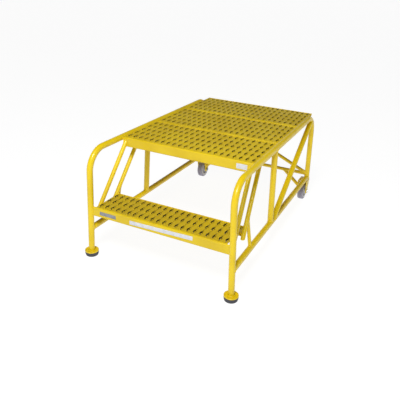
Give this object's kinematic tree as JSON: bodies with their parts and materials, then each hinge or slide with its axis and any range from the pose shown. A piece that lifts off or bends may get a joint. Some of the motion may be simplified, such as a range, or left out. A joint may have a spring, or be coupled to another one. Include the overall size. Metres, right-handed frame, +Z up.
{
  "type": "rolling work platform with step",
  "caption": "Low rolling work platform of welded bent tube with serrated plank decking, a lower step, rubber front feet and rigid rear wheels.",
  "frame": {"origin": "on the floor under the middle of the whole object's box", "axes": "+X to the user's right facing the step from in front, +Y from the step towards the wheels, +Z up"},
  "size_m": [0.7566, 1.1968, 0.5153],
  "materials": {
    "frame_paint": "safety-yellow powder coat, semi-gloss",
    "plank_paint": "safety-yellow powder coat on serrated steel plank",
    "black_rubber": "matt black moulded rubber",
    "grey_tread": "grey non-marking rubber tread",
    "pale_plastic": "pale grey moulded plastic",
    "bronze": "sintered bronze bush",
    "zinc_steel": "zinc-plated fastener"
  },
  "bodies": {
    "frame": {"left_frame_tube": "frame_paint", "right_frame_tube": "frame_paint", "left_lower_rail": "frame_paint", "right_lower_rail": "frame_paint", "left_mid_post": "frame_paint", "right_mid_post": "frame_paint", "right_side_brace": "frame_paint", "rear_cross_tube": "frame_paint", "rear_diagonal_brace": "frame_paint", "left_front_hanger": "frame_paint", "right_front_hanger": "frame_paint", "left_rear_hanger": "frame_paint", "right_rear_hanger": "frame_paint", "left_hanger_strut": "frame_paint", "right_hanger_strut": "frame_paint", "front_plank_tread": "plank_paint", "front_plank_channels": "plank_paint", "middle_plank_tread": "plank_paint", "middle_plank_channels": "plank_paint", "rear_plank_tread": "plank_paint", "rear_plank_channels": "plank_paint", "step_tread": "plank_paint", "step_channels": "plank_paint", "left_foot_plate": "frame_paint", "right_foot_plate": "frame_paint", "left_rubber_foot": "black_rubber", "right_rubber_foot": "black_rubber", "left_wheel_fork": "frame_paint", "right_wheel_fork": "frame_paint", "left_fork_brace": "frame_paint", "right_fork_brace": "frame_paint", "left_axle_bolt": "zinc_steel", "right_axle_bolt": "zinc_steel", "left_axle_nut": "zinc_steel", "right_axle_nut": "zinc_steel", "left_axle_sleeve": "zinc_steel", "right_axle_sleeve": "zinc_steel"},
    "left_wheel": {"left_wheel_hub": "pale_plastic", "left_tyre": "grey_tread", "left_wheel_bush": "bronze"},
    "right_wheel": {"right_wheel_hub": "pale_plastic", "right_tyre": "grey_tread", "right_wheel_bush": "bronze"}
  },
  "joints": [
    {"name": "left_wheel_spin", "type": "hinge", "parent": "frame", "child": "left_wheel", "pos_m": [-0.32716, 0.5476, 0.0508], "axis": [1, 0, 0], "continuous": true},
    {"name": "right_wheel_spin", "type": "hinge", "parent": "frame", "child": "right_wheel", "pos_m": [0.32716, 0.5476, 0.0508], "axis": [1, 0, 0], "continuous": true}
  ]
}
